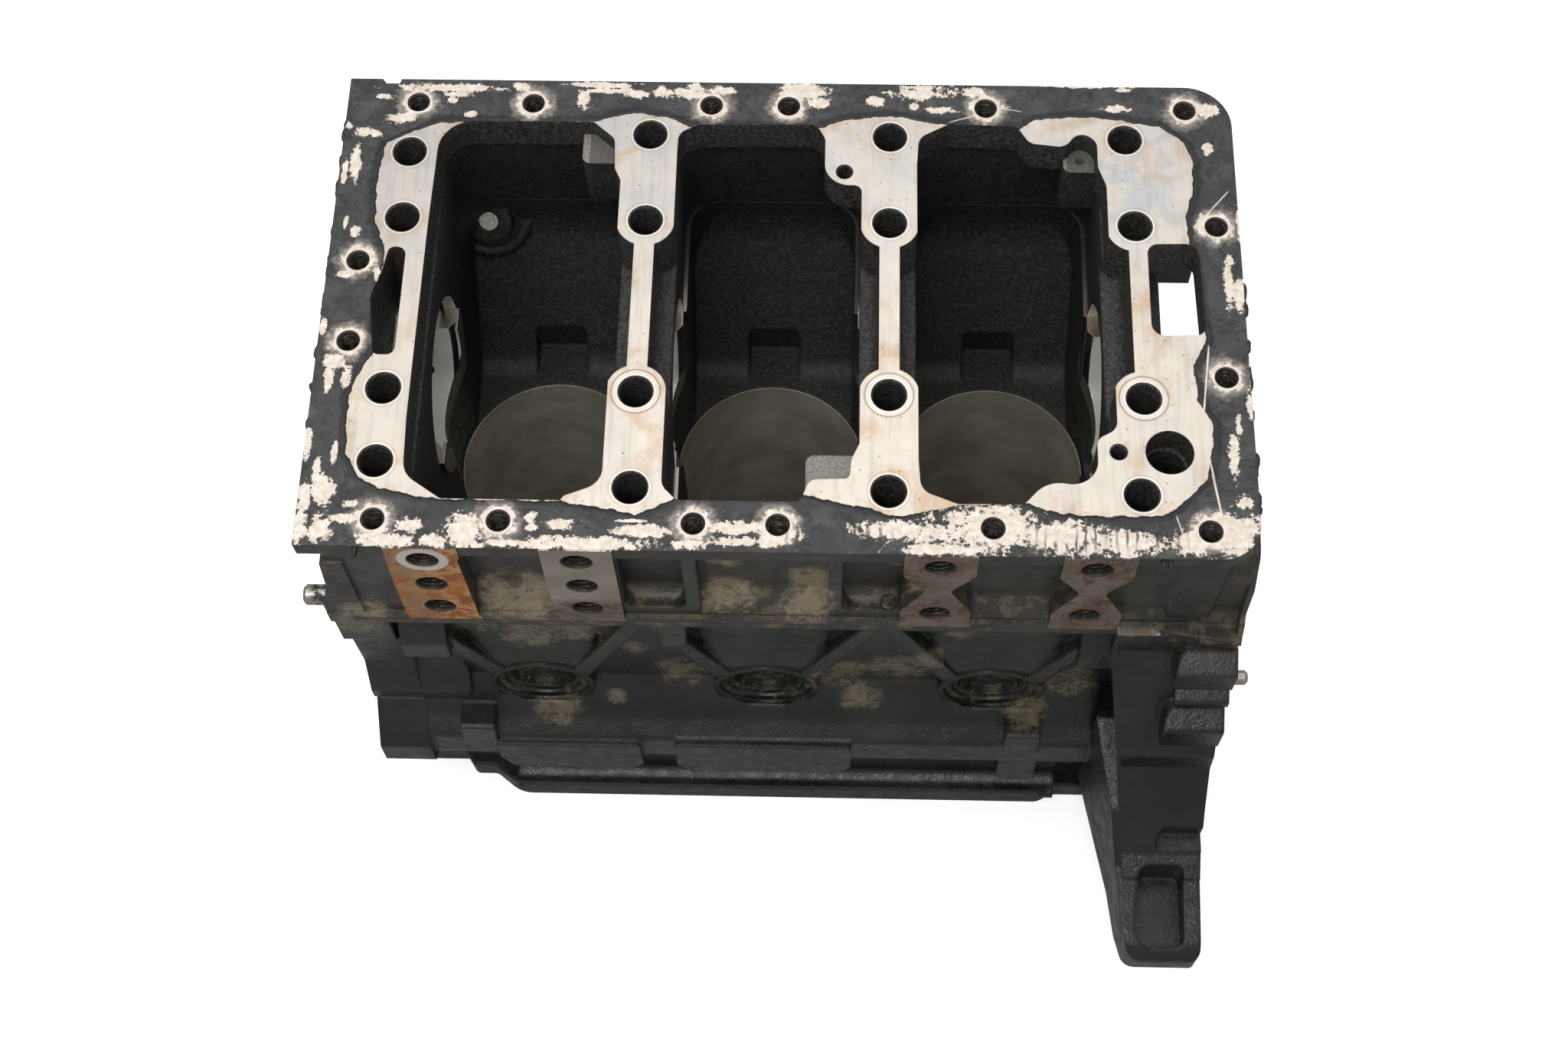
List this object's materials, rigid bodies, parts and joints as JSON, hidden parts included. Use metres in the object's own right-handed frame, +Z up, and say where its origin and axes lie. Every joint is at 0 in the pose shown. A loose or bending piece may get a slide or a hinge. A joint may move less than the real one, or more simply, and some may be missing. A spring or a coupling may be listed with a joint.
{
  "type": "engine block",
  "caption": "Bare cylinder block of a small inline engine with its ladder-type lower crankcase, standing upside down with the pan face up.",
  "frame": {"origin": "on the crankshaft axis at the middle cylinder", "axes": "+X along the crankshaft towards the flywheel end, +Y towards the plain back wall, +Z up from the crank axis to the oil pan face"},
  "size_m": [0.3415, 0.282, 0.25],
  "materials": {
    "block_iron": "worn black enamel over rough casting, bores and joint faces bare machined",
    "crankcase_iron": "black enamel outside, pan face machined with dark sealant left on the rail",
    "plug_steel": "pressed steel under the enamel",
    "dowel_steel": "ground steel with traces of paint",
    "light_alloy": "pale dull alloy"
  },
  "bodies": {
    "root": {"cylinder_block": "block_iron", "lower_crankcase": "crankcase_iron", "core_plug_front_1": "plug_steel", "core_plug_front_2": "plug_steel", "core_plug_front_3": "plug_steel", "core_plug_back_1": "plug_steel", "core_plug_back_2": "plug_steel", "dowel_left": "dowel_steel", "dowel_left_back": "dowel_steel", "dowel_right": "dowel_steel", "dowel_right_back": "dowel_steel", "ring_dowel_1": "dowel_steel", "ring_dowel_2": "dowel_steel", "gallery_plug": "plug_steel", "wall_plug": "light_alloy", "oil_plug_front": "plug_steel"}
  },
  "joints": []
}
